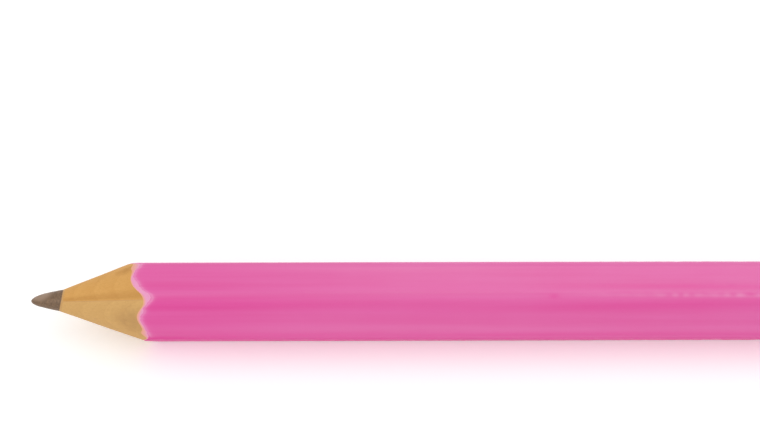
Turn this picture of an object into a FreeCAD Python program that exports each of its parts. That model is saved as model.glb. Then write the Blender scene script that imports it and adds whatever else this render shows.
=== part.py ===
import FreeCAD, Part

import math
import os

from FreeCAD import Vector

# A short hexagonal wood-cased pencil, sharpened to a point at -X and dipped in lacquer at +X.
# It lies on one flat.  X runs along the pencil and Z is up.  The origin is on the surface it
# lies on, under the middle of its length.  All sizes are in millimetres and degrees.

# ---- driving dimensions: the finished pencil ----
overall_length = 75.4
across_flats = 7.2  # over the finished lacquer
arris_radius = 1.2  # the rounding of the six long corners, over the finished lacquer

# ---- the coats on the wood, from the inside out ----
primer_thickness = 0.06
colour_thickness = 0.05
varnish_thickness = 0.04

# ---- the graphite core and the glue ----
core_diameter = 2.0
core_glue_thickness = 0.05  # the film between the core and its groove
slat_glue_thickness = 0.06  # the film between the two slats
seam_angle = 120.0  # the arris that the glue line runs out at, turned from +Y towards +Z

# ---- the sharpened point ----
point_half_angle = 20.0  # of the cone cut on the wood and the coats
lead_exposed_length = 2.8  # bare graphite, from its tip to the wood
lead_taper_half_angle = 10.5  # of the graphite next to the wood
lead_nose_length = 1.3  # the rounded stretch of the graphite
lead_tip_radius = 0.22

# ---- the blunt end ----
end_dome_radius = 20.0
end_ground_thickness = 0.08  # the coat that seals the end grain
end_ground_inset = 0.35  # from the wood's flats to the ground coat's edge
dip_end_thickness = 0.22  # the dipped cap over the trimmed end, ground coat included
dip_side_thickness = 0.06  # the dipped cap on the sides, let in flush with the lacquer
dip_length = 1.7
dip_edge_radius = 0.55
trimmed_edge_radius = 0.4  # the sanded edge of the trimmed end, under the dipped cap

# ---- places worked out from them ----
tip_x = -overall_length / 2
end_x = overall_length / 2
trimmed_end_x = end_x - dip_end_thickness
dip_start_x = end_x - dip_length
core_radius = core_diameter / 2
groove_radius = core_radius + core_glue_thickness
wood_start_x = tip_x + lead_exposed_length
point_slope = math.tan(math.radians(point_half_angle))
cone_apex_x = wood_start_x - core_radius / point_slope
axis_height = across_flats / 2
coat_thickness = primer_thickness + colour_thickness + varnish_thickness
beyond = 2 * across_flats  # a length or radius that reaches past the whole section

X_AXIS = Vector(1, 0, 0)
ORIGIN = Vector(0, 0, 0)


def section_point(radius, angle):
    """A point in the YZ plane, at an angle turned from +Y towards +Z."""
    turn = math.radians(angle)
    return Vector(0, radius * math.cos(turn), radius * math.sin(turn))


def hexagonal_bar(inset, start_x, stop_x):
    """The pencil's rounded hexagon, taken in evenly by inset, as a bar along X with flats up and down."""
    corner = max(arris_radius - inset, 0.05)
    centre_radius = (across_flats / 2 - inset - corner) / math.cos(math.radians(30))
    edges = []
    last = None
    for arris in range(0, 360, 60):
        centre = section_point(centre_radius, arris)
        arc = Part.Arc(
            centre + section_point(corner, arris - 30),
            centre + section_point(corner, arris),
            centre + section_point(corner, arris + 30),
        ).toShape()
        if last is not None:
            edges.append(Part.makeLine(last, arc.Vertexes[0].Point))
        edges.append(arc)
        last = arc.Vertexes[-1].Point
    edges.append(Part.makeLine(last, edges[0].Vertexes[0].Point))
    face = Part.Face(Part.Wire(edges))
    face.translate(Vector(start_x, 0, 0))
    return face.extrude(Vector(stop_x - start_x, 0, 0))


def turned(edges):
    """A solid of revolution about X from a closed outline in the upper half of the XZ plane."""
    return Part.Face(Part.Wire(edges)).revolve(ORIGIN, X_AXIS, 360)


def rod(radius):
    """A round rod along the whole pencil and past both ends."""
    return Part.makeCylinder(radius, 2 * overall_length, Vector(-overall_length, 0, 0), X_AXIS)


def domed(bar, dome_x, edge_radius):
    """A bar cut to a spherical end that crowns at dome_x, with its rim rounded by edge_radius."""
    radius = end_dome_radius - (end_x - dome_x)
    rim_turn = math.asin(across_flats / radius)
    rim = Vector(dome_x - radius * (1 - math.cos(rim_turn)), 0, radius * math.sin(rim_turn))
    middle = Vector(dome_x - radius * (1 - math.cos(rim_turn / 2)), 0, radius * math.sin(rim_turn / 2))
    crown = Vector(dome_x, 0, 0)
    front = Vector(tip_x - beyond, 0, 0)
    keep = turned(
        [
            Part.Arc(rim, middle, crown).toShape(),
            Part.makeLine(crown, front),
            Part.makeLine(front, front + Vector(0, 0, rim.z)),
            Part.makeLine(front + Vector(0, 0, rim.z), rim),
        ]
    )
    cut = bar.common(keep)
    if edge_radius <= 0:
        return cut
    end_face = max(cut.Faces, key=lambda face: face.CenterOfMass.x)
    return cut.makeFillet(edge_radius, end_face.Edges)


def sharpener_cone():
    """Everything inside the cone that the sharpener cuts, on to the blunt end."""
    apex = Vector(cone_apex_x, 0, 0)
    rim = Vector(cone_apex_x + beyond / point_slope, 0, beyond)
    back_rim = Vector(end_x + beyond, 0, beyond)
    back_centre = Vector(end_x + beyond, 0, 0)
    return turned(
        [
            Part.makeLine(apex, rim),
            Part.makeLine(rim, back_rim),
            Part.makeLine(back_rim, back_centre),
            Part.makeLine(back_centre, apex),
        ]
    )


def trimmed_blank():
    """The coated pencil before it is dipped: sharpened in front, trimmed and rubbed down behind."""
    bar = hexagonal_bar(0, tip_x, dip_start_x)
    # the last of the sides is rubbed down by the dip's own thickness
    bar = bar.fuse(hexagonal_bar(dip_side_thickness, dip_start_x, end_x))
    return domed(bar, trimmed_end_x, trimmed_edge_radius).common(sharpener_cone())


def coat(inset, thickness):
    """One even coat of the given thickness, whose outer face lies inset below the finished flats."""
    outer = hexagonal_bar(inset, tip_x, end_x)
    inner = hexagonal_bar(inset + thickness, tip_x - beyond, end_x + beyond)
    return outer.cut(inner).common(trimmed_blank())


def half_space(side, gap):
    """The space on one side of the glue line, side +1 above it and -1 below, standing off by gap."""
    corner = Vector(-overall_length, -beyond, gap)
    box = Part.makeBox(2 * overall_length, 2 * beyond, 2 * beyond, corner)
    if side < 0:
        box.rotate(ORIGIN, X_AXIS, 180)
    # made with the glue line along Y, then turned until the line runs out at the seam's arris
    box.rotate(ORIGIN, X_AXIS, seam_angle - 180)
    return box


def wood_blank():
    """Both slats as one, sharpened and trimmed, with the round hole that their grooves make."""
    bar = hexagonal_bar(coat_thickness, tip_x, end_x).common(trimmed_blank())
    return bar.cut(rod(groove_radius))


def casing_slat(side):
    """One slat: half of the hexagon, with a half-round groove along the middle of its joint face."""
    return wood_blank().common(half_space(side, slat_glue_thickness / 2))


def slat_glue():
    """The two strips of dried glue between the slats, one each side of the core."""
    film = wood_blank()
    for side in (1, -1):
        film = film.cut(half_space(side, slat_glue_thickness / 2))
    return film


def core_glue():
    """The sleeve of glue that bonds the core into its grooves."""
    return rod(groove_radius).cut(rod(core_radius)).common(trimmed_blank())


def graphite_core():
    """The lead: a round rod with a tapered point that ends in a rounded nose."""
    taper = math.radians(lead_taper_half_angle)
    shoulder = Vector(
        tip_x + lead_nose_length,
        0,
        core_radius - (lead_exposed_length - lead_nose_length) * math.tan(taper),
    )
    # the nose is one arc, tangent to the taper at the shoulder and to the small round tip
    inward = Vector(math.sin(taper), 0, -math.cos(taper))
    tip_centre = Vector(tip_x + lead_tip_radius, 0, 0)
    offset = shoulder - tip_centre
    nose_radius = (lead_tip_radius**2 - offset.dot(offset)) / (2 * (lead_tip_radius + offset.dot(inward)))
    nose_centre = shoulder + inward * nose_radius
    outward = (tip_centre - nose_centre).normalize()
    blend = tip_centre + outward * lead_tip_radius
    tip = Vector(tip_x, 0, 0)
    tip_mid = tip_centre + (outward - X_AXIS).normalize() * lead_tip_radius
    nose_mid = nose_centre + (outward - inward).normalize() * nose_radius
    wood_edge = Vector(wood_start_x, 0, core_radius)
    back = Vector(end_x, 0, core_radius)
    back_centre = Vector(end_x, 0, 0)
    lead = turned(
        [
            Part.Arc(tip, tip_mid, blend).toShape(),
            Part.Arc(blend, nose_mid, shoulder).toShape(),
            Part.makeLine(shoulder, wood_edge),
            Part.makeLine(wood_edge, back),
            Part.makeLine(back, back_centre),
            Part.makeLine(back_centre, tip),
        ]
    )
    return domed(lead, trimmed_end_x, 0)


def end_ground_coat():
    """The thin coat on the trimmed end that seals the end grain and hides the core."""
    bar = hexagonal_bar(coat_thickness + end_ground_inset, dip_start_x, end_x)
    outer = domed(bar, trimmed_end_x + end_ground_thickness, 0)
    return outer.cut(domed(bar, trimmed_end_x, 0))


def end_dip():
    """The cap of lacquer that the blunt end is dipped in, over the ground coat and the last of the sides."""
    bar = hexagonal_bar(0, dip_start_x, end_x)
    cap = domed(bar, end_x, dip_edge_radius)
    return cap.cut([trimmed_blank(), end_ground_coat()])


def main():
    os.makedirs("parts", exist_ok=True)
    pieces = {
        "graphite_core": graphite_core(),
        "core_glue_sleeve": core_glue(),
        "slat_glue_line": slat_glue(),
        "casing_slat_upper": casing_slat(1),
        "casing_slat_lower": casing_slat(-1),
        "primer_coat": coat(varnish_thickness + colour_thickness, primer_thickness),
        "colour_coat": coat(varnish_thickness, colour_thickness),
        "clear_varnish": coat(0, varnish_thickness),
        "end_ground_coat": end_ground_coat(),
        "end_dip_cap": end_dip(),
    }
    for name, shape in pieces.items():
        shape.translate(Vector(0, 0, axis_height))
        box = shape.BoundBox
        print(
            f"{name}: {len(shape.Solids)} solid(s), {shape.Volume:.3f} mm3, valid {shape.isValid()}, "
            f"x {box.XMin:.3f} {box.XMax:.3f}, y {box.YMin:.3f} {box.YMax:.3f}, z {box.ZMin:.3f} {box.ZMax:.3f}"
        )
        shape.exportStep(os.path.join("parts", name + ".step"))


main()
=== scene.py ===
import math

import bpy
import numpy as np
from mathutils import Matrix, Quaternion, Vector


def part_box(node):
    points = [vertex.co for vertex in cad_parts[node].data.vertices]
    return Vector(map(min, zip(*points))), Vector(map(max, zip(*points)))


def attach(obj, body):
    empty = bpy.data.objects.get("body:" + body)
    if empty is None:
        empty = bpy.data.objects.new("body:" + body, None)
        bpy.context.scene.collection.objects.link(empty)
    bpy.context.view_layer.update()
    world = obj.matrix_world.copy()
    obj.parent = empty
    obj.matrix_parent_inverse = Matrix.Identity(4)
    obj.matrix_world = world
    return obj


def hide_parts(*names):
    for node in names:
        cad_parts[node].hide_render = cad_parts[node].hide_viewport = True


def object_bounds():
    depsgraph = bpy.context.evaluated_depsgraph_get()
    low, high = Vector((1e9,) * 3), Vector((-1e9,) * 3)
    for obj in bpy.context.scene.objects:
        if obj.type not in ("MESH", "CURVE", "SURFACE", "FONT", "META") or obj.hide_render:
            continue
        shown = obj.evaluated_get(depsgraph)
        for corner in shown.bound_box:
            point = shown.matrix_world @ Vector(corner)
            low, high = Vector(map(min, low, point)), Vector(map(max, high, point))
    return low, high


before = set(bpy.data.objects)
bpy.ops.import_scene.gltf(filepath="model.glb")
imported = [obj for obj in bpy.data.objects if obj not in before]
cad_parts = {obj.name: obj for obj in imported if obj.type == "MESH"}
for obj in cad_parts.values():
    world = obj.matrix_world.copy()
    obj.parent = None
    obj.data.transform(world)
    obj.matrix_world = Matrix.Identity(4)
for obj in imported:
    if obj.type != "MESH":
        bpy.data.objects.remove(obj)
cad_low, cad_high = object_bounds()

MM = 0.001

# ---------------------------------------------------------------------------------------------
# The wooden casing: two grooved slats of light cedar, planed to half a hexagon each, glued round
# the lead and then sharpened.  Only the sharpened cone of the wood shows; the two slats come
# from different boards, so one is golden and the other is paler.

axis_z = (cad_low.z + cad_high.z) / 2
tip_x = cad_low.x
end_x = cad_high.x
seam_angle = math.radians(120)  # the arris that the glue line runs out at, turned from +Y to +Z
seam_half_gap = 0.03 * MM
wood_inset = 0.10 * MM  # from the finished lacquer to the wood's flats
wood_arris = 1.63 * MM  # the slats are planed rounder than the lacquer leaves them
end_dome_radius = 20 * MM
trimmed_depth = 0.22 * MM  # from the dipped end to the trimmed wood
trimmed_rim = 0.4 * MM

varnish_low, varnish_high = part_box("clear_varnish")
half_flats = (varnish_high.z - varnish_low.z) / 2
half_corners = (varnish_high.y - varnish_low.y) / 2
flat_to_corner = 1 / math.cos(math.radians(30))
# the size of the corner's arc that leaves the hexagon this wide across its rounded corners
arris_radius = (half_flats * flat_to_corner - half_corners) / (flat_to_corner - 1)

# the sharpener held the pencil a little crooked, so its cone leans and sits off to the back
lean = math.radians(1.35)
lean_towards = math.radians(8)  # turned from +Y to +Z
cone_half_angle = math.radians(20.2)
cone_shift = 0.06 * MM
lead_bared = 2.8 * MM  # from the tip to the wood
core_radius = 1.0 * MM
glue_thickness = 0.05 * MM
core_shift = 0.19 * MM  # the lead sits off the middle of the casing by this
core_towards = math.radians(33)
cone_apex_x = tip_x + lead_bared - core_radius / math.tan(cone_half_angle)


def hexagon_radius(theta, inset=0.0, arris=None):
    """Distance from the axis to the rounded hexagon, taken in by inset, at the angle theta.

    Near a corner it is where the ray meets the corner's arc, whose radius is arris or else shrinks by
    the inset; elsewhere it is the flat's distance divided by the cosine of the angle to its normal."""
    flats = half_flats - inset
    corner = arris_radius - inset if arris is None else arris + 0 * np.asarray(inset)
    centre = (flats - corner) * flat_to_corner
    from_corner = np.abs((theta + math.pi / 6) % (math.pi / 3) - math.pi / 6)
    arc_ends = np.arctan2(corner / 2, centre + corner * math.cos(math.pi / 6))
    on_arc = centre * np.cos(from_corner) + np.sqrt(
        np.maximum(corner**2 - (centre * np.sin(from_corner)) ** 2, 0)
    )
    on_flat = flats / np.cos(math.pi / 6 - from_corner)
    return np.where(from_corner < arc_ends, on_arc, on_flat)


def degrees_from(theta, at):
    """The turn in degrees, from -180 to 180, that leads from the angle at to theta."""
    return (np.degrees(theta) - at + 180) % 360 - 180


def bell(value, half_width):
    """A bell-shaped rise: 1 where the value is 0, and 1/e at the half-width."""
    return np.exp(-((value / half_width) ** 2))


# where the boards lacked their full width: angle, half-width in degrees, depth in mm
wood_wanes = [(63, 10, 0.16), (148, 16, 0.06), (178, 11, 0.26), (300, 8, 0.08)]


def wood_take_in(theta):
    """How far the wood lies inside the finished flats: an even coat, and a bell at each wane."""
    total = wood_inset + 0 * theta
    for at, width, depth in wood_wanes:
        total = total + depth * MM * bell(degrees_from(theta, at), width)
    return total


def wood_radius(theta):
    """Distance from the axis to the planed wood at the angle theta."""
    return hexagon_radius(theta, wood_take_in(theta), wood_arris)


def cone_x(theta, radius):
    """X of the sharpened cone at this distance from the pencil's axis, at the angle theta.

    The distance from the cone's own apex is the radius less the cone's shift that way.  The run for
    each millimetre of it solves, for an axis that leans by a small angle, the distance from that
    axis being the run times the tangent of the half-angle."""
    slope, off = math.tan(cone_half_angle), math.tan(lean)
    across = off * np.cos(theta - lean_towards)
    run = (np.sqrt(across**2 + slope**2 - off**2) - across) / (slope**2 - off**2)
    return cone_apex_x + (radius - cone_shift * np.cos(theta - core_towards)) * run


def shifted_radius(theta, radius):
    """Distance from the pencil's axis to a circle of that radius round the lead's own axis."""
    turn = theta - core_towards
    return core_shift * np.cos(turn) + np.sqrt(radius**2 - (core_shift * np.sin(turn)) ** 2)


def dome_x(radius, crown_x):
    """X of a spherical end that crowns at crown_x, at this distance from the axis."""
    ball = end_dome_radius - (end_x - crown_x)
    return crown_x - ball + np.sqrt(ball**2 - radius**2)


def rim_rows(theta, inset, crown_x, rim, steps, arris=None):
    """The rounded rim between the hexagon's side and a domed end, as rows of (x, radius).

    Each row takes the hexagon in by rim times one minus the cosine of a quarter turn's share, and
    stands short of the dome by rim times one minus its sine."""
    turn = np.linspace(0, math.pi / 2, steps)[:, None]
    radius = hexagon_radius(theta[None, :], inset + rim * (1 - np.cos(turn)), arris)
    return dome_x(radius, crown_x) - rim * (1 - np.sin(turn)), radius


def section_points(x, radius, theta):
    """Points at (x, radius) along and from the pencil's axis, at theta turned from +Y to +Z."""
    x, radius, theta = np.broadcast_arrays(x, radius, theta)
    return np.stack([x, radius * np.cos(theta), axis_z + radius * np.sin(theta)], axis=-1)


def grid_faces(rows, columns, rows_close=False, columns_close=True):
    """Four-cornered faces of a grid of points stored row by row.

    They face the way that the columns' direction crossed with the rows' direction points."""
    i = np.arange(rows if rows_close else rows - 1)[:, None]
    j = np.arange(columns if columns_close else columns - 1)[None, :]
    i2, j2 = (i + 1) % rows, (j + 1) % columns
    corners = [i * columns + j, i * columns + j2, i2 * columns + j2, i2 * columns + j]
    return np.stack(np.broadcast_arrays(*corners), axis=-1).reshape(-1, 4)


def make_piece(name, points, quads, triangles, material, nodes):
    """A smooth-shaded mesh piece that rides on the pencil and stands for the named CAD nodes."""
    mesh = bpy.data.meshes.new(name)
    mesh.from_pydata(points.reshape(-1, 3).tolist(), [], quads.tolist() + [list(t) for t in triangles])
    mesh.polygons.foreach_set("use_smooth", np.ones(len(mesh.polygons), bool))
    mesh.materials.append(material)
    mesh.validate()
    piece = bpy.data.objects.new(name, mesh)
    bpy.context.scene.collection.objects.link(piece)
    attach(piece, "root")
    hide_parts(*nodes)
    return piece


def sharpen_edges(piece, degrees):
    """Shades the piece smooth except across edges that turn by more than this."""
    piece.data.set_sharp_from_angle(angle=math.radians(degrees))


def colour(text):
    """An sRGB hex value as linear red, green, blue and full alpha."""
    values = [int(text[i : i + 2], 16) / 255 for i in (0, 2, 4)]
    return (*[v / 12.92 if v <= 0.04045 else ((v + 0.055) / 1.055) ** 2.4 for v in values], 1)


def add(tree, kind, inputs=None, **settings):
    """Adds a shader node with these settings, sets or links its inputs, and returns its outputs."""
    node = tree.nodes.new("ShaderNode" + kind)
    for name, value in settings.items():
        setattr(node, name, value)
    for key, value in (inputs or {}).items():
        if isinstance(value, bpy.types.NodeSocket):
            tree.links.new(value, node.inputs[key])
        else:
            node.inputs[key].default_value = value
    return node.outputs


def new_material(name):
    """An empty node material: its tree, its Principled shader and a socket of Object coordinates."""
    material = bpy.data.materials.new(name)
    material.use_nodes = True
    tree = material.node_tree
    shader = tree.nodes["Principled BSDF"]
    place = add(tree, "TexCoord")["Object"]
    return material, tree, shader, place


def oval_patch(tree, place, centre, size, ragged, reach, depth):
    """A soft oval patch that falls from depth to 0, its edge broken up by the ragged noise.

    The distance from its centre, in half-sizes, has the noise times its strength added to it.  The
    patch is at its deepest up to the first value in reach, and gone at the second."""
    noise, strength = ragged
    inputs = {"Vector": place, "Location": centre, "Scale": size}
    local = add(tree, "Mapping", inputs, vector_type="TEXTURE")["Vector"]
    distance = add(tree, "VectorMath", {0: local}, operation="LENGTH")["Value"]
    distance = add(tree, "Math", {0: noise, 1: strength, 2: distance}, operation="MULTIPLY_ADD")[0]
    inputs = {"Value": distance, "From Min": reach[1], "From Max": reach[0], "To Max": depth}
    return add(tree, "MapRange", inputs, interpolation_type="SMOOTHSTEP")["Result"]


def slat_wood(name, light, dark, line, band, grain_turn, grain_shift, dark_patch):
    """Cut cedar, straight-grained: soft growth bands 0.8 mm apart, fibres 0.12 mm wide and 5 mm long,
    and short dark pores.  It gives the eye a warm, dull, finely streaked surface, with a shade along
    the glue line, where the glue has soaked in, and a darker patch near the lacquer's edge."""
    ring_gap, fibre_width, fibre_length, pore_width, blotch_width = 0.8, 0.12, 5, 0.07, 0.5  # mm
    ring_stretch = 0.045  # what a length along the grain counts for, so that the bands run long
    wander = 420  # of the glue's shade, in waves per metre
    # away from the glue line, as shares of the distance outwards
    shade_starts, shade_fades, shade_ends = 0.09, 0.16, 0.42
    material, tree, shader, place = new_material(name)
    # Z of this frame stands square to the glue line, X runs along the grain
    inputs = {"Vector": place, "Location": (0, 0, axis_z), "Rotation": (seam_angle, 0, 0)}
    local = add(tree, "Mapping", inputs, vector_type="TEXTURE")["Vector"]
    inputs = {"Vector": local, "Rotation": (grain_turn, 0, 0.03), "Location": grain_shift}
    turned = add(tree, "Mapping", inputs)["Vector"]
    along = add(tree, "VectorMath", {0: turned, 1: (ring_stretch, 1, 1)}, operation="MULTIPLY")[0]
    warp = add(tree, "TexNoise", {"Vector": along, "Scale": wander, "Detail": 2})["Fac"]
    rings = add(
        tree,
        "TexWave",
        {
            "Vector": along,
            "Scale": 0.314 / (ring_gap * MM),  # at a scale of 1 the bands are 0.314 apart
            "Distortion": 2.2,
            "Detail": 2,
            "Detail Scale": 0.8,
        },
        wave_type="BANDS",
        bands_direction="Y",
        wave_profile="SAW",
    )["Fac"]
    inputs = {0: turned, 1: (fibre_width / fibre_length, 1, 1)}
    fibre_place = add(tree, "VectorMath", inputs, operation="MULTIPLY")[0]
    inputs = {"Vector": fibre_place, "Scale": 1 / (fibre_width * MM), "Detail": 3, "Roughness": 0.6}
    fibres = add(tree, "TexNoise", inputs)["Fac"]
    inputs = {"Vector": fibre_place, "Scale": 1 / (pore_width * MM), "Detail": 1, "Roughness": 0.4}
    pores = add(tree, "TexNoise", inputs)["Fac"]
    inputs = {"Value": rings, "From Min": 0.2, "From Max": 1, "To Max": 0.3}
    ring_share = add(tree, "MapRange", inputs)["Result"]
    inputs = {"Value": fibres, "From Min": 0.3, "From Max": 0.75, "To Max": 0.45}
    fibre_share = add(tree, "MapRange", inputs)["Result"]
    inputs = {"Value": pores, "From Min": 0.62, "From Max": 0.74, "To Max": 0.3}
    pore_share = add(tree, "MapRange", inputs)["Result"]
    # a darker patch: an oval, its edge broken up by soft blotches
    centre, size, depth = dark_patch
    inputs = {"Vector": turned, "Scale": 1 / (blotch_width * MM), "Detail": 2}
    blotches = add(tree, "TexNoise", inputs)["Fac"]
    darkened = oval_patch(tree, place, centre, size, (blotches, 0.9), (0.55, 1.7), depth)
    # glue that soaked into the joint face tints a band beside it, wider towards the outside
    parts = add(tree, "SeparateXYZ", {0: local})
    away = add(tree, "Math", {0: parts["Z"]}, operation="ABSOLUTE")[0]
    outward = add(tree, "Math", {0: parts["Y"]}, operation="ABSOLUTE")[0]
    outward = add(tree, "Math", {0: outward, 1: 0.3 * MM}, operation="ADD")[0]
    slant = add(tree, "Math", {0: away, 1: outward}, operation="DIVIDE")[0]
    wavy = add(tree, "Math", {0: warp, 1: 0.12, 2: slant}, operation="MULTIPLY_ADD")[0]
    inputs = {"Value": wavy, "From Min": shade_ends, "From Max": shade_fades, "To Max": band}
    outer_part = add(tree, "MapRange", inputs, interpolation_type="SMOOTHSTEP")["Result"]
    inputs = {"Value": slant, "From Min": 0, "From Max": shade_starts, "To Min": 0.15}
    inner_part = add(tree, "MapRange", inputs, interpolation_type="SMOOTHSTEP")["Result"]
    soaked = add(tree, "Math", {0: outer_part, 1: inner_part}, operation="MULTIPLY")[0]
    mix = colour(light)
    shades = [(ring_share, dark), (fibre_share, dark), (pore_share, line), (darkened, line), (soaked, line)]
    for share, shade in shades:
        mix = add(tree, "Mix", {0: share, 6: mix, 7: colour(shade)}, data_type="RGBA")[2]
    tree.links.new(mix, shader.inputs["Base Color"])
    grain = add(tree, "Math", {0: fibres, 1: pore_share}, operation="ADD")[0]
    bump = add(tree, "Bump", {"Height": grain, "Strength": 0.5, "Distance": 0.012 * MM})
    tree.links.new(bump["Normal"], shader.inputs["Normal"])
    dullness = add(tree, "MapRange", {"Value": fibres, "To Min": 0.55, "To Max": 0.8})
    tree.links.new(dullness["Result"], shader.inputs["Roughness"])
    shader.inputs["IOR"].default_value = 1.45
    shader.inputs["Specular IOR Level"].default_value = 0.35
    return material


def slat(name, start_angle, material, node, seed):
    """One slat, as a closed outline carried through half a turn about the axis.

    The outline runs up the sharpened cone from the lip round the lead, back along the hexagon, over
    the trimmed end, and forward again along the groove.  The first and last outlines stand off from
    the glue line by half its thickness, so the two slats leave room for the glue."""
    columns, cone_steps, bar_steps, rim_steps = 170, 120, 6, 5
    share = np.linspace(0, 1, columns)
    waves = np.random.default_rng(seed)

    def angle_at(radius):
        off = np.arcsin(seam_half_gap / radius)
        return start_angle + off + (math.pi - 2 * off) * share

    outer_angle = angle_at(half_flats)
    lip_stand_off = 0.015 * MM  # the wood's thin lip broke away from the glue
    lip = shifted_radius(outer_angle, core_radius + glue_thickness) + lip_stand_off
    outer = wood_radius(outer_angle)
    climb = np.linspace(0, 1, cone_steps)[:, None]
    cone_radius = lip + (outer - lip) * climb
    front_x = cone_x(outer_angle, cone_radius)
    # marks of the blade: ridges round the cone, long faint facets where it lifted, and torn fibres
    ridge_height, ridge_pitch = 0.0032 * MM, 0.42 * MM
    facet_height, facet_length = 0.010 * MM, 9 * MM
    fibre_height = 0.0022 * MM
    ridge = ridge_height * np.sin(2 * math.pi * front_x / ridge_pitch + 3 * outer_angle)
    facet_phase = 7 * outer_angle + 2 * math.pi * front_x / facet_length + waves.uniform(0, 6)
    facet = facet_height * np.sin(facet_phase)
    fibre = sum(
        fibre_height * np.sin(k * outer_angle + waves.uniform(0, 6.28))
        for k in waves.integers(40, 150, 14)
    )
    fade = np.sin(math.pi * climb) ** 0.5
    front_x = front_x + (ridge + facet + fibre) / math.tan(cone_half_angle) * fade
    crown = end_x - trimmed_depth
    take_in = wood_take_in(outer_angle)
    rim_x, rim_radius = rim_rows(outer_angle, take_in, crown, trimmed_rim, rim_steps, wood_arris)
    bar_share = np.linspace(0, 1, bar_steps + 2)[1:-1, None]
    bar_x = front_x[-1] + (rim_x[0] - front_x[-1]) * bar_share
    outline_x = np.concatenate([front_x, bar_x, rim_x])
    outline_radius = np.concatenate([cone_radius, np.broadcast_to(outer, bar_x.shape), rim_radius])
    groove = shifted_radius(outer_angle, core_radius + glue_thickness)
    inner_x = np.minimum(outline_x, dome_x(groove, crown))
    inner_radius = np.broadcast_to(groove, inner_x.shape)
    all_x = np.concatenate([outline_x, inner_x[::-1]])
    all_radius = np.concatenate([outline_radius, inner_radius[::-1]])
    off = np.arcsin(np.minimum(seam_half_gap / all_radius, 1))
    theta = start_angle + off + (math.pi - 2 * off) * share[None, :]
    points = section_points(all_x, all_radius, theta)
    rows = len(all_x)
    quads = grid_faces(rows, columns, rows_close=True, columns_close=False)
    # the two joint faces, each a strip between the outline's outer and inner halves
    half = rows // 2
    out = np.arange(half)
    back = rows - 1 - out
    ends = []
    for column, facing in ((0, 1), (columns - 1, -1)):
        o, b = out * columns + column, back * columns + column
        strip = np.stack([b[:-1], o[:-1], o[1:], b[1:]], axis=-1)
        ends.append(strip[:, ::facing])
    piece = make_piece(name, points, np.concatenate([quads, *ends]), [], material, [node])
    sharpen_edges(piece, 30)
    return piece


# a darker patch on the wood near the lacquer's edge: the oval's middle, its half-sizes and its depth
upper_dark_patch = (
    (tip_x + 9.2 * MM, 1.5 * MM, axis_z + 3.1 * MM),
    (1.9 * MM, 0.6 * MM, 0.6 * MM),
    0.6,
)
upper_wood = slat_wood(
    "golden_cedar", "DFA95F", "CE954C", "B8813D", 0.45, math.radians(24), (0.013, 0.002, 0.0), upper_dark_patch
)
lower_dark_patch = (
    (tip_x + 10.3 * MM, -2.9 * MM, axis_z + 1.3 * MM),
    (3.4 * MM, 1.4 * MM, 1.7 * MM),
    0.5,
)
lower_wood = slat_wood(
    "pale_cedar", "DBAE6C", "CB9B5C", "AD8150", 0.0, math.radians(-33), (0.007, 0.009, 0.004), lower_dark_patch
)
slat("wood_slat_upper", seam_angle - math.pi, upper_wood, "casing_slat_upper", 3)
slat("wood_slat_lower", seam_angle, lower_wood, "casing_slat_lower", 4)

# ---------------------------------------------------------------------------------------------
# The glue line: white wood glue that dried brown between the slats, one strip on each side of
# the lead.  It was cut flush with the cone when the pencil was sharpened.

# dried wood glue: hard, slightly glossy and darker than the wood, so it draws a fine brown line
glue_material, tree, shader, place = new_material("dried_wood_glue")
blotches = add(tree, "TexNoise", {"Vector": place, "Scale": 1 / (0.9 * MM), "Detail": 3})["Fac"]
mix = add(tree, "Mix", {0: blotches, 6: colour("C49252"), 7: colour("D3A465")}, data_type="RGBA")
tree.links.new(mix[2], shader.inputs["Base Color"])
shader.inputs["Roughness"].default_value = 0.45
shader.inputs["IOR"].default_value = 1.48


def glue_strip(theta):
    """A flat strip of glue at the angle theta: its points, and its faces.

    Its four long edges run along the groove and along the hexagon, on the two joint faces."""
    steps = 60
    stop_short = 0.5 * MM  # of the trimmed end
    proud = 0.01 * MM  # the first point stands up beside the lead's glue
    low = shifted_radius(theta, core_radius + glue_thickness)
    high = float(wood_radius(np.array(theta)))
    rise = np.linspace(0, 1, steps)
    front_x = cone_x(theta, low + (high - low) * rise)
    back_x = end_x - trimmed_depth - stop_short
    x = np.concatenate([front_x, [back_x]])
    top = np.concatenate([low + (high - low) * rise, [high]])
    bottom = np.full(len(x), low)
    top[0] += proud
    along = np.array([math.cos(theta), math.sin(theta)])
    square = np.array([-math.sin(theta), math.cos(theta)])
    # round the section: bottom and top on one side, top and bottom on the other
    corners = [(bottom, -1), (top, -1), (top, 1), (bottom, 1)]
    rows = [
        np.column_stack([x, np.outer(radius, along) + side * seam_half_gap * square + (0, axis_z)])
        for radius, side in corners
    ]
    points = np.stack(rows, axis=1)
    quads = grid_faces(len(x), 4)
    first, last = np.arange(4), np.arange(4) + 4 * (len(x) - 1)
    return points.reshape(-1, 3), np.concatenate([quads, [first[::-1]], [last]])


near_points, near_quads = glue_strip(seam_angle)
far_points, far_quads = glue_strip(seam_angle - math.pi)
glue_line = make_piece(
    "glue_line",
    np.concatenate([near_points, far_points]),
    np.concatenate([near_quads, far_quads + len(near_points)]),
    [],
    glue_material,
    ["slat_glue_line"],
)
sharpen_edges(glue_line, 30)

# ---------------------------------------------------------------------------------------------
# The glue round the lead: a thin sleeve of the same glue in the grooves, cut with the cone.  It
# shows as a fine dark ring where the lead leaves the wood.


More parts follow.
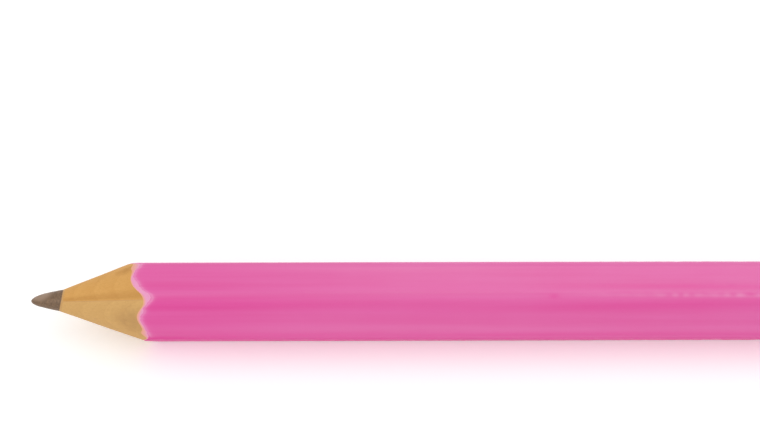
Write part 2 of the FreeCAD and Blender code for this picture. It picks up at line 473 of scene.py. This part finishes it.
def sleeve(name, material, node):
    """A closed outline carried round the lead: out along the groove, and back along the lead."""
    columns = 128
    stop_short = 0.15 * MM  # of the trimmed end
    theta = np.linspace(0, 2 * math.pi, columns, endpoint=False)
    inner = shifted_radius(theta, core_radius)
    outer = shifted_radius(theta, core_radius + glue_thickness)
    back_x = np.full(columns, end_x - trimmed_depth - stop_short)
    x = np.stack([cone_x(theta, outer), back_x, back_x, cone_x(theta, inner)])
    radius = np.stack([outer, outer, inner, inner])
    points = section_points(x, radius, theta)
    piece = make_piece(name, points, grid_faces(4, columns, rows_close=True), [], material, [node])
    sharpen_edges(piece, 30)
    return piece


sleeve("lead_glue_sleeve", glue_material, "core_glue_sleeve")

# ---------------------------------------------------------------------------------------------
# The lead: a fired rod of graphite and clay, 2 mm across, bared by the sharpener and then worn
# blunt, more on one side than on the other, by writing.

# graphite and clay: dark warm grey, with a dull metallic shine and the blade's fine turned marks
graphite, tree, shader, place = new_material("fired_graphite")
scratch_width, grit_size = 0.1 * MM, 0.16 * MM
turned = add(tree, "VectorMath", {0: place, 1: (1, 0.12, 0.12)}, operation="MULTIPLY")[0]
scratches = add(tree, "TexNoise", {"Vector": turned, "Scale": 1 / scratch_width, "Detail": 3})["Fac"]
inputs = {"Vector": place, "Scale": 1 / grit_size, "Detail": 4, "Roughness": 0.65}
grit = add(tree, "TexNoise", inputs)["Fac"]
warm = add(tree, "MapRange", {"Value": grit, "From Min": 0.35, "From Max": 0.65})["Result"]
# the upper side of the tip is paler, a painted sheen where the light falls on it
sheen_at = (tip_x + 0.8 * MM, 0.34 * MM, axis_z + 0.66 * MM)
sheen_size = (1.4 * MM, 0.6 * MM, 0.6 * MM)
painted_sheen = oval_patch(tree, place, sheen_at, sheen_size, (grit, 0.7), (0.8, 1.5), 0.75)
mix = colour("604832")
for share, shade in ((warm, "826549"), (painted_sheen, "A38974")):
    mix = add(tree, "Mix", {0: share, 6: mix, 7: colour(shade)}, data_type="RGBA")[2]
tree.links.new(mix, shader.inputs["Base Color"])
inputs = {"Value": scratches, "From Min": 0.3, "From Max": 0.7, "To Min": 0.36, "To Max": 0.58}
dullness = add(tree, "MapRange", inputs)
tree.links.new(dullness["Result"], shader.inputs["Roughness"])
marks = add(tree, "Math", {0: scratches, 1: grit}, operation="ADD")[0]
bump = add(tree, "Bump", {"Height": marks, "Strength": 0.5, "Distance": 0.01 * MM})
tree.links.new(bump["Normal"], shader.inputs["Normal"])
shader.inputs["Metallic"].default_value = 0.25
shader.inputs["IOR"].default_value = 1.6


def worn_lead():
    """The lead as rings round its own axis, closed by a point at each end.

    A ring's radius is the softer minimum of a rounded nose, the square root of the distance from the
    tip, and a straight taper; past the wood's lip it is the full radius.  The nose's centre drops
    away from the lead's axis, as it has been worn on one side."""
    columns, taper_steps = 128, 90
    nose_width, taper_start, taper_slope, softness = 0.34, 0.43, 0.204, 14  # for distances in mm
    tip_drop, drop_length = 0.3, 0.75  # the share of the lead's shift, and mm from the tip
    flat_depth, flats_reach, turned_depth, turned_reach, tip_reach = 0.018 * MM, 0.9, 0.010 * MM, 1.6, 0.3
    first_ring_x = tip_x + 20 * MM  # the next ring behind the bared taper
    last_ring_short, end_point_short = 0.06 * MM, 0.02 * MM  # of the trimmed end
    theta = np.linspace(0, 2 * math.pi, columns, endpoint=False)
    bare = cone_x(theta, shifted_radius(theta, core_radius)) - tip_x
    share = (np.linspace(0, 1, taper_steps + 1)[1:, None]) ** 1.8
    full_reach = lead_bared / MM
    reach = full_reach * share

    def profile(distance):
        nose = np.sqrt(nose_width * distance)
        taper = taper_start + taper_slope * distance
        return (nose**-softness + taper**-softness) ** (-1 / softness)

    def at_lead_axis(x, shift):
        return (x, shift * math.cos(core_towards), axis_z + shift * math.sin(core_towards))

    radius = core_radius * profile(reach) / profile(full_reach) * np.ones(columns)
    x = tip_x + bare * share
    # soft flats near the tip, and finer ones that turn round the taper
    wear = flat_depth * np.sin(3 * theta + 1.0) * np.exp(-reach / flats_reach)
    wear = wear + turned_depth * np.sin(7 * theta + 9 * reach) * np.exp(-reach / turned_reach)
    radius = radius + wear * np.minimum(reach / tip_reach, 1)
    centre = np.broadcast_to(core_shift * (1 - tip_drop * bell(reach, drop_length)), radius.shape)
    crown = end_x - trimmed_depth
    back_x = np.stack([np.full(columns, first_ring_x), np.full(columns, crown - last_ring_short)])
    x = np.concatenate([x, back_x])
    radius = np.concatenate([radius, np.full((2, columns), core_radius)])
    centre = np.concatenate([centre, np.full((2, columns), core_shift)])
    y = radius * np.cos(theta) + centre * math.cos(core_towards)
    z = axis_z + radius * np.sin(theta) + centre * math.sin(core_towards)
    tip = at_lead_axis(tip_x, core_shift * (1 - tip_drop))
    back = at_lead_axis(crown - end_point_short, core_shift)
    points = np.concatenate([np.stack([x, y, z], axis=-1).reshape(-1, 3), [tip, back]])
    rows = len(x)
    last = (rows - 1) * columns
    j = np.arange(columns)
    k = (j + 1) % columns
    nose_fan = np.column_stack([np.full(columns, rows * columns), k, j])
    end_fan = np.column_stack([np.full(columns, rows * columns + 1), last + j, last + k])
    return points, grid_faces(rows, columns), np.concatenate([nose_fan, end_fan]).tolist()


lead_points, lead_quads, lead_fans = worn_lead()
lead = make_piece("lead", lead_points, lead_quads, lead_fans, graphite, ["graphite_core"])
sharpen_edges(lead, 50)

# ---------------------------------------------------------------------------------------------
# The ground coat: the first dips of a thick pale primer that fills the wood's pores.  It shows
# as a pale rim along the scalloped edge, where the sharpener cut through the coats.

primer_inset = 0.06 * MM  # from the finished lacquer to the primer's outer face
primer_arris = 1.38 * MM
primer_stop_x = end_x - 0.9 * MM  # out of sight under the dip
edge_noise = np.random.default_rng(23)
edge_waves = [(k, edge_noise.uniform(0, 6.28), edge_noise.normal(0, 1)) for k in range(14, 150, 3)]
whole_turn = np.linspace(0, 2 * math.pi, 720, endpoint=False)


def ragged_edge(theta, size, power):
    """A cut edge's small wandering, a sum of waves round the pencil, finer ones smaller."""

    def waves(turn):
        return sum(a * np.sin(k * turn + phase) / k**power for k, phase, a in edge_waves)

    return size * waves(theta) / np.std(waves(whole_turn))


def front_wane(x, theta):
    """How far the coats dip towards the point along the arris where the wood lacked its corner.

    It is a bell across the angle, and dies away smoothly from 12 to 18 mm behind the tip."""
    depth, arris, half_width = 0.20 * MM, 180, 11
    share = np.clip((tip_x + 18 * MM - x) / (6 * MM), 0, 1)
    return depth * bell(degrees_from(theta, arris), half_width) * share**2 * (3 - 2 * share)


def even_angles(columns):
    """Angles that divide the hexagon's outline into equal lengths, and the outline's whole length."""
    fine = np.linspace(0, 2 * math.pi, 7201)
    radius = hexagon_radius(fine)
    steps = np.hypot(np.diff(radius * np.cos(fine)), np.diff(radius * np.sin(fine)))
    length = np.concatenate([[0], np.cumsum(steps)])
    return np.interp(np.linspace(0, length[-1], columns, endpoint=False), length, fine), length[-1]


def coat_points(theta, outer, inner, front_x, inner_front, back_x, spread, relief):
    """A coat as a closed outline carried round the casing, between two distances from the axis.

    It runs back along the outer face, from front_x to back_x at the shares in spread, across the
    coat, forward along the inner face to inner_front, and across the cut to the start."""
    x = front_x + (back_x - front_x) * spread[:, None]
    outer = np.broadcast_to(outer, x.shape) + relief(x, theta)
    inner_x = np.stack([np.full(len(theta), back_x), (inner_front + back_x) / 2, inner_front])
    cut_x = (inner_front + front_x) / 2
    cut_radius = (inner + outer[0]) / 2
    all_x = np.concatenate([x, inner_x, cut_x[None]])
    all_radius = np.concatenate([outer, np.broadcast_to(inner, inner_x.shape), cut_radius[None]])
    return section_points(all_x, all_radius, theta)


def store_shade(piece, name, rows):
    """Keeps one value from 0 to 1 for each point of a coat, for its material to read."""
    shade = piece.data.attributes.new(name, "FLOAT", "POINT")
    shade.data.foreach_set("value", np.ascontiguousarray(rows, dtype=np.float32).ravel())


# matt primer, blushed by the pink above it; where the blade crossed it, it is stained by the wood
primer, tree, shader, place = new_material("chalk_primer")
chalk = add(tree, "TexNoise", {"Vector": place, "Scale": 1 / (0.3 * MM), "Detail": 3})["Fac"]
cut = add(tree, "Attribute", attribute_name="cut")["Fac"]
mix = colour("F4A9CD")
for share, shade in ((chalk, "EC97C1"), (cut, "EDAA88")):
    mix = add(tree, "Mix", {0: share, 6: mix, 7: colour(shade)}, data_type="RGBA")[2]
tree.links.new(mix, shader.inputs["Base Color"])
shader.inputs["Roughness"].default_value = 0.6
shader.inputs["IOR"].default_value = 1.5
shader.inputs["Specular IOR Level"].default_value = 0.3

primer_theta, outline_length = even_angles(720)
primer_outer = hexagon_radius(primer_theta, primer_inset, primer_arris)
primer_inner = wood_radius(primer_theta)
primer_lip = primer_outer - front_wane(tip_x, primer_theta)
primer_front = cone_x(primer_theta, primer_lip) + ragged_edge(primer_theta, 0.02 * MM, 0.6)
# rings from the cut edge to the end, as shares, closest together at the edge
primer_spread = np.concatenate(
    [np.linspace(0, 0.04, 24), np.linspace(0.05, 0.15, 8), np.linspace(0.2, 1, 8)]
)
primer_points = coat_points(
    primer_theta,
    primer_outer,
    primer_inner,
    primer_front,
    cone_x(primer_theta, primer_inner),
    primer_stop_x,
    primer_spread,
    lambda x, theta: -front_wane(x, theta),
)
primer_coat = make_piece(
    "primer_coat_shell",
    primer_points,
    grid_faces(len(primer_points), len(primer_theta), rows_close=True),
    [],
    primer,
    ["primer_coat"],
)
cut_rows = np.zeros(primer_points.shape[:2])
cut_rows[0], cut_rows[-1], cut_rows[-2] = 0.1, 0.7, 1.0
store_shade(primer_coat, "cut", cut_rows)
sharpen_edges(primer_coat, 40)

# the ground coat on the trimmed end is the same primer, and is out of sight under the dip
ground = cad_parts["end_ground_coat"]
ground.data.materials.clear()
ground.data.materials.append(primer)

# ---------------------------------------------------------------------------------------------
# The lacquer: several dips of pink nitrocellulose lacquer under a clear gloss coat.  It drew into
# long streaks as the pencil was pushed through the dipping ring, and dried in small lumps
# towards the blunt end.

dip_start_x = end_x - 1.7 * MM
# the deeper pink on the underside is painted shade
painted_shade_depth = 0.6  # how much deeper the pink is on the underside, of the deepest it can be


def arris_beads(x, theta):
    """The lacquer's beading along two arrises, about 1.4 mm from bead to bead, as a wave from -1 to 1.

    The wave's phase and height wander with X, and a bell across the angle keeps it to the arris."""
    pitch, half_width, starts, grows_over = 1.4 * MM, 3, 14 * MM, 14 * MM
    phase = 1.9 * np.sin(x / (1.9 * MM)) + 0.9 * np.sin(x / (0.71 * MM))
    height = 0.6 + 0.4 * np.sin(x / (1.1 * MM) + 0.7)
    wave = np.sin(2 * math.pi * x / pitch + phase) * height
    bells = sum(bell(degrees_from(theta, arris), half_width) for arris in (115, 297))
    return wave * bells * np.clip((x - starts) / grows_over, 0, 1)


def arris_nick(x, theta):
    """A nick in one arris, as a bell in X and in the angle that is 1 at its middle."""
    nick_x, half_length, nick_angle, half_width = 10.7 * MM, 0.45 * MM, 116, 3.5
    return bell(x - nick_x, half_length) * bell(degrees_from(theta, nick_angle), half_width)


def lacquer_relief(x, theta):
    """Height of the dried lacquer's unevenness, a sum of waves along and round the casing.

    Long ridges run the whole length; round lumps 0.9 to 2.2 mm wide grow towards the blunt end, and
    beads stand along two arrises.  All of it lies below the finished size, and its hollows level off
    at the primer, as a hyperbolic tangent does."""
    ridge_height, lump_height, bead_height, nick_depth = 0.0016 * MM, 0.0006 * MM, 0.007 * MM, 0.014 * MM
    deepest = 0.048 * MM
    waves = np.random.default_rng(5)
    ridges = 0
    for _ in range(16):
        k = waves.integers(5, 34)
        phase = waves.uniform(0, 6.28)
        ridges = ridges + np.sin(k * theta + phase + x / (waves.uniform(14, 60) * MM)) / k**0.5
    lumps = 0
    for _ in range(46):
        wavelength = waves.uniform(0.9, 2.2) * MM
        heading = waves.uniform(0, math.pi)
        k = round(outline_length / wavelength * math.sin(heading))
        along = 2 * math.pi * math.cos(heading) / wavelength
        lumps = lumps + np.cos(along * x + k * theta + waves.uniform(0, 6.28))
    # how far the lumps have grown, along the rear half and once more in the last few millimetres
    grow = np.clip((x - 2 * MM) / (32 * MM), 0, 1) ** 1.2
    last = np.clip((x - 28 * MM) / (7 * MM), 0, 1)
    height = ridge_height * ridges + lump_height * lumps * (0.25 + 3.6 * grow + 2.4 * last)
    height = height + bead_height * (arris_beads(x, theta) - 1) - nick_depth * arris_nick(x, theta)
    # sunk by about as much as it rises
    sunk = np.minimum(height - (0.004 + 0.022 * grow + 0.012 * last) * MM, 0)
    return deepest * np.tanh(sunk / deepest)


def drawn_bands(x, theta, bands, seed):
    """Long bands of deeper or paler pink: bells across the angle, each waxing and waning along X.

    A band is its angle and half-width in degrees, its strength, and the x in mm where it sets in."""
    sway, sway_length, waxing, sets_in_over = 1.5, 9 * MM, 0.35, 14
    waves = np.random.default_rng(seed)
    total = 0
    for at, width, depth, start in bands:
        turn = degrees_from(theta, at) + sway * np.sin(x / sway_length + waves.uniform(0, 6.28))
        along = 1 + waxing * np.sin(x / (waves.uniform(3, 7) * MM) + waves.uniform(0, 6.28))
        set_in = np.clip((x / MM - start) / sets_in_over, 0, 1)
        total = total + depth * along * bell(turn, width) * set_in
    return np.clip(total, 0, 1)


def store_lacquer(piece, points, bands, thinned_and_highlight, on_side):
    """Stores the pink's bands with painted shade, its paler places with painted highlights, and the
    varnish's gloss.

    From about the middle of the height downwards the pink is darker, a painted shade on the underside, and
    the varnish is duller."""
    shade_start, shade_range, gloss, dull = 0.53, 0.09, 0.5, 0.08
    height = (points[..., 2] - cad_low.z) / (2 * half_flats)
    below = np.clip((shade_start - height) / shade_range, 0, 1) * on_side
    store_shade(piece, "gathered_and_shade", np.maximum(bands, painted_shade_depth * below))
    store_shade(piece, "thin_and_highlight", np.clip(thinned_and_highlight, 0, 1) * (1 - below))
    store_shade(piece, "gloss", gloss - (gloss - dull) * below)


# pink lacquer under clear varnish: an opaque saturated pink, and the varnish carries the gloss.  The
# pink drew back from some arrises and collected beside them, and is uneven in long streaks; some paler and
# deeper bands are painted highlight and painted shade
lacquer, tree, shader, place = new_material("pink_nitro_lacquer")
streak_width, cloud_size, peel_size = 0.7 * MM, 9 * MM, 0.35 * MM
drawn_out = add(tree, "VectorMath", {0: place, 1: (0.03, 1, 1)}, operation="MULTIPLY")[0]
inputs = {"Vector": drawn_out, "Scale": 1 / streak_width, "Detail": 4, "Roughness": 0.55}
streaks = add(tree, "TexNoise", inputs)["Fac"]
streak_share = add(tree, "MapRange", {"Value": streaks, "From Min": 0.32, "From Max": 0.68})["Result"]
# from a third of the way back it is paler, in soft clouds
lengthwise = add(tree, "SeparateXYZ", {0: place})["X"]
inputs = {"Value": lengthwise, "From Min": -25 * MM, "From Max": -8 * MM}
paler = add(tree, "MapRange", inputs, interpolation_type="SMOOTHSTEP")["Result"]
clouds = add(tree, "TexNoise", {"Vector": place, "Scale": 1 / cloud_size, "Detail": 3})["Fac"]
inputs = {"Value": clouds, "From Min": 0.3, "From Max": 0.7, "To Min": 0.20, "To Max": 0.36}
cloud_share = add(tree, "MapRange", inputs)["Result"]
cloud_share = add(tree, "Math", {0: cloud_share, 1: paler}, operation="MULTIPLY")[0]
# it is deeper where it collected and where shade is painted, and paler at the sharpened edge, along some
# of the arrises and where highlights are painted
gathered_and_shade = add(tree, "Attribute", attribute_name="gathered_and_shade")["Fac"]
deeper = add(tree, "MapRange", {"Value": gathered_and_shade, "From Min": 0, "From Max": 0.7})["Result"]
deepest = add(tree, "MapRange", {"Value": gathered_and_shade, "From Min": 0.7, "From Max": 1})["Result"]
thin_and_highlight = add(tree, "Attribute", attribute_name="thin_and_highlight")["Fac"]
mix = colour("E3539F")
shades = [
    (streak_share, "E65EA8"), (cloud_share, "E87EB8"), (deeper, "E4419A"), (deepest, "BE2A78"),
    (thin_and_highlight, "EE93C2"),
]
for share, shade in shades:
    mix = add(tree, "Mix", {0: share, 6: mix, 7: colour(shade)}, data_type="RGBA")[2]
tree.links.new(mix, shader.inputs["Base Color"])
# a fine peel that gets coarser towards the blunt end, and the drag marks of the dipping ring
peel = add(tree, "TexNoise", {"Vector": place, "Scale": 1 / peel_size, "Detail": 2})["Fac"]
inputs = {"Value": lengthwise, "From Min": 8 * MM, "From Max": 34 * MM, "To Min": 0.6, "To Max": 3.0}
rearward = add(tree, "MapRange", inputs)["Result"]
peel = add(tree, "Math", {0: peel, 1: rearward}, operation="MULTIPLY")[0]
drag = add(tree, "Math", {0: streaks, 1: 2.0, 2: peel}, operation="MULTIPLY_ADD")[0]
bump = add(tree, "Bump", {"Height": drag, "Strength": 0.35, "Distance": 0.01 * MM})
tree.links.new(bump["Normal"], shader.inputs["Normal"])
shader.inputs["Roughness"].default_value = 0.4
shader.inputs["IOR"].default_value = 1.5
shader.inputs["Specular IOR Level"].default_value = 0.05
gloss = add(tree, "Attribute", attribute_name="gloss")["Fac"]
tree.links.new(gloss, shader.inputs["Coat Weight"])
shader.inputs["Coat Roughness"].default_value = 0.14
shader.inputs["Coat IOR"].default_value = 1.5

lacquer_theta, _ = even_angles(296)
# where the lacquer has flaked back to the primer: angle, half-width in degrees, depth in mm
chips = [
    (102, 19, 0.46), (116, 8, 0.16), (60, 8, 0.10), (138, 5, 0.20), (153, 7, 0.06), (181, 6, 0.05),
    (238, 12, 0.30), (262, 5, 0.12), (303, 9, 0.22), (2, 8, 0.26), (24, 5, 0.10), (330, 10, 0.08),
]
flaked = sum(
    depth * MM * np.exp(-((degrees_from(lacquer_theta, at) / width) ** 4)) for at, width, depth in chips
)
front_dip = front_wane(tip_x, lacquer_theta)
lacquer_inner = hexagon_radius(lacquer_theta, primer_inset, primer_arris) - front_dip
lacquer_lip = hexagon_radius(lacquer_theta) - front_dip
lacquer_ragged = ragged_edge(lacquer_theta, 0.03 * MM, 0.4)
lacquer_front = cone_x(lacquer_theta, lacquer_lip) + flaked + lacquer_ragged
lacquer_inner_front = cone_x(lacquer_theta, lacquer_inner) + flaked + lacquer_ragged
# rings from the cut edge to the dip, as shares, closest at the edge and close where the lumps are
lacquer_spread = np.concatenate(
    [np.linspace(0, 0.02, 14), np.linspace(0.03, 0.44, 50), np.linspace(0.4422, 1, 252)]
)
lacquer_points = coat_points(
    lacquer_theta,
    hexagon_radius(lacquer_theta),
    lacquer_inner,
    lacquer_front,
    lacquer_inner_front,
    dip_start_x,
    lacquer_spread,
    lambda x, theta: lacquer_relief(x, theta) - front_wane(x, theta),
)
lacquer_coat = make_piece(
    "pink_lacquer_shell",
    lacquer_points,
    grid_faces(len(lacquer_points), len(lacquer_theta), rows_close=True),
    [],
    lacquer,
    ["colour_coat", "clear_varnish"],
)
lacquer_x = lacquer_points[..., 0]
# bands of deeper pink; the one at 129.5 degrees, just under the upper arris, is painted shade
gathered_and_shade_bands = [
    (129.5, 9, 0.26, -60), (176, 5, 0.14, -60), (102, 4.5, 0.24, 8), (250, 8, 0.35, -60),
    (311, 9, 0.35, -60), (288, 5, 0.20, -60), (10, 9, 0.30, -60), (348, 5, 0.20, 0),
    (49, 5, 0.25, -60), (175.5, 4, 0.16, -8),
]
# bands of paler pink; the one at 115 degrees along the upper arris is a painted highlight, and the broad
# one at 85 degrees is painted light on the top flat
thin_and_highlight_bands = [
    (167, 7, 0.12, -60), (67, 7, 0.16, -60), (85, 15, 0.07, -60), (113, 6, 0.10, -60),
    (115, 2.6, 0.34, 10), (240, 4, 0.15, -40), (222, 7, 0.12, -60), (278, 8, 0.14, -60),
    (300, 3, 0.15, 0), (340, 7, 0.14, -60), (30, 8, 0.12, -60), (1, 3, 0.15, -10),
]
gathered_seed, thin_seed = 7, 8
worn_depth, worn_length, bead_painted_highlight, nick_filling = 0.6, 0.15 * MM, 0.32, 0.32
# the wet lacquer filled the nick and drew back from the cut edge; the tops of the beads are paler, a
# painted highlight
gathered_and_shade_there = drawn_bands(lacquer_x, lacquer_theta, gathered_and_shade_bands, gathered_seed)
gathered_and_shade_there = gathered_and_shade_there + nick_filling * arris_nick(lacquer_x, lacquer_theta)
thinned_and_highlight = worn_depth * np.exp(-np.maximum(lacquer_x - lacquer_front, 0) / worn_length)
thinned_and_highlight = thinned_and_highlight + drawn_bands(lacquer_x, lacquer_theta, thin_and_highlight_bands, thin_seed)
thinned_and_highlight = thinned_and_highlight + bead_painted_highlight * arris_beads(lacquer_x, lacquer_theta)
store_lacquer(lacquer_coat, lacquer_points, gathered_and_shade_there, thinned_and_highlight, 1.0)
sharpen_edges(lacquer_coat, 45)

# ---------------------------------------------------------------------------------------------
# The dipped end: a last dip of the same pink lacquer over the trimmed end.  It rounded the rim,
# covered the lead and the end grain, and left a slight bead where the dip stopped.


def dipped_cap():
    """The cap as a closed skin: back along the sides, over the rim and the dome to the middle, then
    out again under the cap and forward along its inner face."""
    columns, side_rows, rim_rows_out, face_rows, under_rim_rows, under_rows = 300, 13, 16, 40, 5, 6
    rim, under_rim, inner_inset = 0.55 * MM, 0.45 * MM, 0.06 * MM
    cap_thickness = 0.16 * MM  # over the end
    innermost = 0.02  # the last ring before the middle, as a share of the face
    dimple_depth, dimple_radius, face_settle, pool_depth = 0.03 * MM, 1.0 * MM, 0.008 * MM, 0.012 * MM
    bead_height, bead_at, bead_half_width, bead_start = 0.008 * MM, 0.25 * MM, 0.2 * MM, 0.15 * MM
    relief_ends = 1.5 * MM  # from where the dip starts
    theta, _ = even_angles(columns)
    rim_x, rim_radius = rim_rows(theta, 0.0, end_x, rim, rim_rows_out)
    side_share = np.linspace(0, 1, side_rows + 1)[:-1, None]
    side_x = dip_start_x + (rim_x[0] - dip_start_x) * side_share
    side_radius = np.broadcast_to(hexagon_radius(theta), side_x.shape)
    face_share = np.linspace(1, innermost, face_rows)[1:, None]
    face_radius = rim_radius[-1] * face_share
    # the lacquer pooled a little unevenly on the end, and pulled in over the lead
    pool = pool_depth * (np.sin(2 * theta + 0.6) - 1) * face_share**2 * (1 - face_share) * 4
    dimple = dimple_depth * bell(face_radius, dimple_radius)
    face_x = dome_x(face_radius, end_x) - face_settle * (1 - face_share**8) + pool - dimple
    x = np.concatenate([side_x, rim_x, face_x])
    radius = np.concatenate([side_radius, rim_radius, face_radius])
    # a bead where the dip stopped, which with the sides' relief fades out towards the rim
    from_start = x - dip_start_x
    bead = bead_height * bell(from_start - bead_at, bead_half_width)
    bead = bead * np.clip(from_start / bead_start, 0, 1)
    side_only = np.clip(1 - from_start / relief_ends, 0, 1)
    radius = radius + (lacquer_relief(x, theta) + bead) * side_only
    under_crown = end_x - cap_thickness
    under_x, under_radius = rim_rows(theta, inner_inset, under_crown, under_rim, under_rim_rows)
    under_share = np.linspace(innermost, 1, under_rows)[:-1, None]
    under_face_radius = under_radius[-1] * under_share
    under_face_x = dome_x(under_face_radius, under_crown)
    lip_radius = hexagon_radius(theta, inner_inset)
    outer_rows = len(x)
    x = np.concatenate([x, under_face_x, under_x[::-1], [np.full(columns, dip_start_x)]])
    radius = np.concatenate([radius, under_face_radius, under_radius[::-1], [lip_radius]])
    rows = len(x)
    centre_out = (end_x - dimple_depth - face_settle, 0, axis_z)
    centre_in = (under_crown, 0, axis_z)
    points = np.concatenate([section_points(x, radius, theta).reshape(-1, 3), [centre_out, centre_in]])
    outer_faces = grid_faces(outer_rows, columns)
    inner_faces = grid_faces(rows - outer_rows, columns) + outer_rows * columns
    j = np.arange(columns)
    k = (j + 1) % columns
    last = (rows - 1) * columns
    lip = np.column_stack([last + j, last + k, k, j])
    middle = (outer_rows - 1) * columns
    fan_out = np.column_stack([np.full(columns, rows * columns), middle + j, middle + k])
    under = outer_rows * columns
    fan_in = np.column_stack([np.full(columns, rows * columns + 1), under + k, under + j])
    quads = np.concatenate([outer_faces, inner_faces, lip])
    return points, quads, np.concatenate([fan_out, fan_in]).tolist()


# the same lacquer from the dipping pot, as a material of its own
dip_lacquer = lacquer.copy()
dip_lacquer.name = "pink_dip_lacquer"
cap_points, cap_quads, cap_fans = dipped_cap()
cap = make_piece(
    "dipped_end_cap", cap_points, cap_quads, cap_fans, dip_lacquer, ["end_dip_cap"]
)
cap_x = cap_points[:, 0]
cap_theta = np.arctan2(cap_points[:, 2] - axis_z, cap_points[:, 1]) % (2 * math.pi)
# the bands end at the rim, and the rim is deeper in colour, a painted shade where it rounds over
rim_length, rim_shade_depth, rim_half_width = 0.6 * MM, 0.4, 0.4 * MM
from_rim = end_x - rim_length - cap_x
side_share = np.clip(from_rim / rim_length, 0, 1)
cap_bands_and_shade = drawn_bands(cap_x, cap_theta, gathered_and_shade_bands, gathered_seed) * side_share
cap_bands_and_shade = cap_bands_and_shade + rim_shade_depth * bell(from_rim, rim_half_width)
cap_thin_and_highlight = drawn_bands(cap_x, cap_theta, thin_and_highlight_bands, thin_seed) * side_share
store_lacquer(cap, cap_points, cap_bands_and_shade, cap_thin_and_highlight, side_share)
sharpen_edges(cap, 60)

# ---------------------------------------------------------------------------------------------
# The table: a plain white sweep, with soft light from above and behind and a long lens.

floor_mesh = bpy.data.meshes.new("table_top")
half_size = 0.9  # m
floor_corners = [(half_size * x, half_size * y, 0) for x, y in ((-1, -1), (1, -1), (1, 1), (-1, 1))]
floor_mesh.from_pydata(floor_corners, [], [(0, 1, 2, 3)])
table = bpy.data.objects.new("table_top", floor_mesh)
table.location.z = cad_low.z
bpy.context.scene.collection.objects.link(table)


def seen_directly(tree):
    """1 for rays from the camera, a reflection or clear material, and 0 for rays that carry light."""
    rays = add(tree, "LightPath")
    seen = rays["Is Camera Ray"]
    for kind in ("Is Glossy Ray", "Is Transmission Ray"):
        seen = add(tree, "Math", {0: seen, 1: rays[kind]}, operation="MAXIMUM")[0]
    return seen


# matt white card, which the camera and reflections see partly as plain white, under its shadow
white, tree, shader, place = new_material("white_card")
shader.inputs["Base Color"].default_value = colour("F8F8F8")
shader.inputs["Roughness"].default_value = 0.8
shader.inputs["Emission Color"].default_value = colour("FFFFFF")
plain_white = add(tree, "Math", {0: seen_directly(tree), 1: 0.26}, operation="MULTIPLY")[0]
tree.links.new(plain_white, shader.inputs["Emission Strength"])
floor_mesh.materials.append(white)

world = bpy.data.worlds.new("studio")
bpy.context.scene.world = world
world.use_nodes = True
tree = world.node_tree
background = tree.nodes["Background"]
background.inputs["Color"].default_value = colour("FFFFFF")
brightness = add(tree, "MapRange", {"Value": seen_directly(tree), "To Min": 0.78, "To Max": 1.0})
tree.links.new(brightness["Result"], background.inputs["Strength"])


def soft_lamp(name, place, aim, width, height, power):
    """A rectangular lamp at place, turned to face aim."""
    light = bpy.data.lights.new(name, "AREA")
    light.shape = "RECTANGLE"
    light.size, light.size_y, light.energy = width, height, power
    lamp = bpy.data.objects.new(name, light)
    lamp.location = place
    lamp.rotation_mode = "QUATERNION"
    lamp.rotation_quaternion = (Vector(aim) - Vector(place)).to_track_quat("-Z", "Y")
    bpy.context.scene.collection.objects.link(lamp)


# places, aims and sizes in metres, powers in watts
soft_lamp("overhead_right", (0.15, 0.02, 0.34), (0.03, 0.0, 0.0), 0.22, 0.10, 0.08)
soft_lamp("behind", (0.11, 0.24, 0.36), (0.0, 0.0, 0.0), 0.24, 0.14, 0.12)
soft_lamp("front_left", (-0.28, -0.28, 0.37), (0.0, 0.0, 0.0), 0.3, 0.3, 0.42)

# a long lens high in front, aimed a little above the pencil and towards its point
elevation = math.radians(55.5)
up = Vector((0, math.sin(elevation), math.cos(elevation)))
back = Vector((0, -math.cos(elevation), math.sin(elevation)))
lens, sensor_width = 180, 36
view_width = 70.6 * MM  # of what the frame takes in at the pencil
camera_data = bpy.data.cameras.new("camera")
camera_data.lens = lens
camera_data.sensor_width = sensor_width
camera_data.clip_start, camera_data.clip_end = 0.01, 10
camera = bpy.data.objects.new("camera", camera_data)
aim = Vector((-5.28 * MM, 0, axis_z)) + up * 8.14 * MM
camera.location = aim + back * (view_width * lens / sensor_width)
camera.rotation_mode = "QUATERNION"
roll = Quaternion((0, 0, 1), math.radians(-0.14))  # the camera is not quite level
camera.rotation_quaternion = (-back).to_track_quat("-Z", "Y") @ roll
bpy.context.scene.collection.objects.link(camera)
bpy.context.scene.camera = camera
bpy.context.scene.view_settings.view_transform = "Standard"
